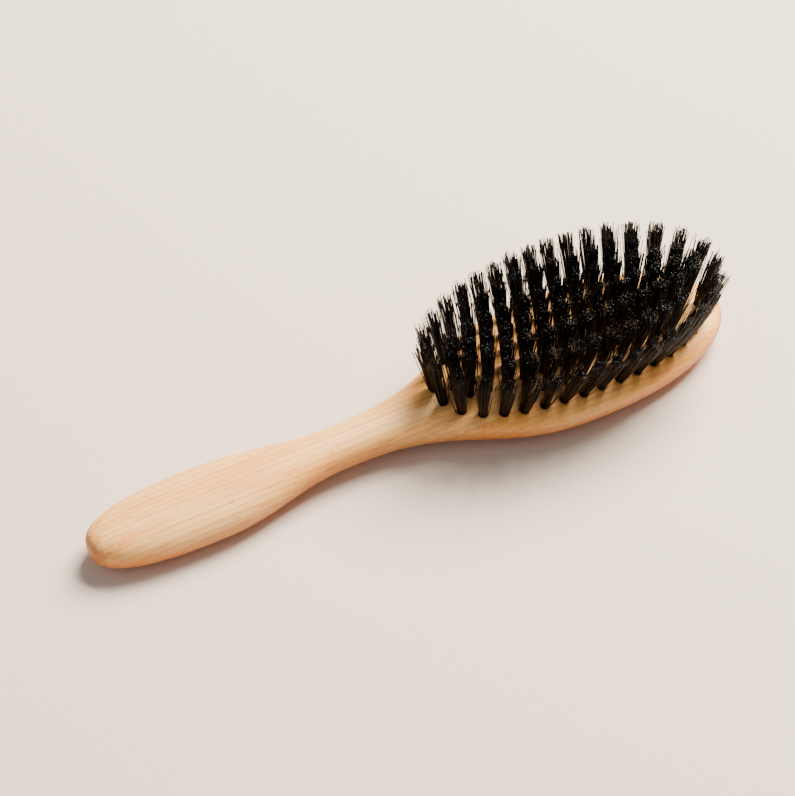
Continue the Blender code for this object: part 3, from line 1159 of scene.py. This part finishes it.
@dataclass
class DrawingWires:
    """The wires in the recess behind the head, looped up through each tuft's fold."""

    pattern: TuftPattern
    wood: WoodenParts
    radius: float = 0.0003
    fold_depth: float = 0.0040
    loop_width: float = 0.0007
    overhang: float = 0.0008
    sides: int = 3

    def build(self) -> list[bpy.types.Object]:
        """Makes the wires of every row as one piece."""
        curve = bpy.data.curves.new("drawing_wires", "CURVE")
        curve.dimensions = "3D"
        curve.bevel_depth = self.radius
        curve.bevel_resolution = self.sides - 1
        curve.use_fill_caps = True
        for row in self.pattern.rows():
            points = self.path(row)
            spline = curve.splines.new("POLY")
            spline.points.add(len(points) - 1)
            for place, point in zip(spline.points, points):
                place.co = (*point, 1.0)
        drawn = placed("wire lines", curve)
        graph = bpy.context.evaluated_depsgraph_get()
        mesh = bpy.data.meshes.new_from_object(drawn.evaluated_get(graph))
        bpy.data.objects.remove(drawn, do_unlink=True)
        mesh.shade_smooth()
        mesh.materials.clear()
        mesh.materials.append(DrawnWire().material())
        piece = placed("drawing_wires", mesh)
        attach(piece, BODY)
        return [piece]

    def path(self, row: list[Tuft]) -> list[Vector]:
        """The line of one row's wire.

        Args:
            row: The row's tufts.

        Returns:
            Its points: along the recess, up each bore to the fold, over it and down again.
        """
        sideways = Vector((0.0, self.loop_width / 2, 0.0))
        first, last = self.wood.wire_end(row[0]), self.wood.wire_end(row[-1])
        points = [first - Vector((0.0, self.overhang, 0.0)) - sideways]
        for tuft in row:
            below = self.wood.wire_end(tuft)
            fold = self.pattern.root(tuft) - self.pattern.lean(tuft) * self.fold_depth
            points += [below - sideways, fold - sideways / 2, fold + sideways / 2, below + sideways]
        points.append(last + Vector((0.0, self.overhang, 0.0)) + sideways)
        return points


# ---------------------------------------------------------------- studio


@dataclass(frozen=True)
class SoftLight:
    """A square light: where it hangs, what it faces, its side in metres, its watts and colour."""

    name: str
    place: Place
    target: Place
    size: float
    power: float
    colour: str

    def hang(self) -> None:
        """Hangs the light in the scene."""
        light = bpy.data.lights.new(self.name, "AREA")
        light.shape = "SQUARE"
        light.size = self.size
        light.energy = self.power
        light.color = linear(self.colour)[:3]
        point_at(placed(self.name, light), self.place, Vector(self.target) - Vector(self.place))


@dataclass
class Studio:
    """A plain pale table, soft light from behind and above, and the camera."""

    table: str = "#e5dbd0"
    table_size: float = 6.0
    table_roughness: float = 0.85
    table_grain: float = 900.0
    table_relief_mm: float = 0.1
    table_relief_strength: float = 0.15
    lights: tuple[SoftLight, ...] = (
        SoftLight("window", (1.0, 0.5, 1.15), (0.1, 0.0, 0.0), 1.0, 138.0, "#ffefdb"),
        SoftLight("reflector", (-1.1, -0.1, 1.0), (0.0, 0.0, 0.0), 1.2, 2.5, "#fbf6ff"),
    )
    sky: str = "#f2efec"
    sky_strength: float = 0.30
    camera_place: Place = (-0.2557, -0.4564, 0.5882)
    camera_aim: Place = (0.3235, 0.5924, -0.7379)
    camera_lens_mm: float = 112.4

    def build(self) -> None:
        """Sets out the table, the lights and the camera."""
        self.lay_table()
        for light in self.lights:
            light.hang()
        world = bpy.data.worlds.new("studio")
        world.use_nodes = True
        back = world.node_tree.nodes["Background"]
        back.inputs["Color"].default_value = linear(self.sky)
        back.inputs["Strength"].default_value = self.sky_strength
        bpy.context.scene.world = world
        self.set_camera()

    def lay_table(self) -> None:
        """Makes the table top, level with the underside of the brush."""
        shape = bmesh.new()
        bmesh.ops.create_grid(shape, x_segments=1, y_segments=1, size=self.table_size / 2)
        bmesh.ops.translate(shape, verts=shape.verts, vec=(0.0, 0.0, CAD_BOX[0].z))
        table = object_from(shape, "table")
        finish, graph, shader = new_material("matt painted board")
        place = graph.add("ShaderNodeTexCoord")
        grain = graph.add(
            "ShaderNodeTexNoise", {"Vector": place.outputs["Object"], "Scale": self.table_grain}
        )
        relief = {
            "Strength": self.table_relief_strength,
            "Distance": self.table_relief_mm * MM,
            "Height": grain.outputs["Fac"],
        }
        bump = graph.add("ShaderNodeBump", relief)
        graph.give(shader, "Normal", bump)
        shader.inputs["Base Color"].default_value = linear(self.table)
        shader.inputs["Roughness"].default_value = self.table_roughness
        table.data.materials.append(finish)

    def set_camera(self) -> None:
        """Sets the camera above the near side of the brush, level across."""
        lens = bpy.data.cameras.new("camera")
        lens.lens = self.camera_lens_mm
        lens.clip_start = 0.01
        camera = placed("camera", lens)
        point_at(camera, self.camera_place, Vector(self.camera_aim))
        bpy.context.scene.camera = camera


def main() -> None:
    """Builds the brush and the studio, and reports each piece."""
    logging.basicConfig(level=logging.INFO, format="%(name)s: %(message)s")
    outline = Outline()
    pattern = TuftPattern(outline)
    wood = WoodenParts(outline, pattern)
    for maker in (wood, BristleTufts(pattern), DrawingWires(pattern, wood)):
        for piece in maker.build():
            log.info("%s: %d faces", piece.name, len(piece.data.polygons))
    Studio().build()


if __name__ == "__main__":
    main()
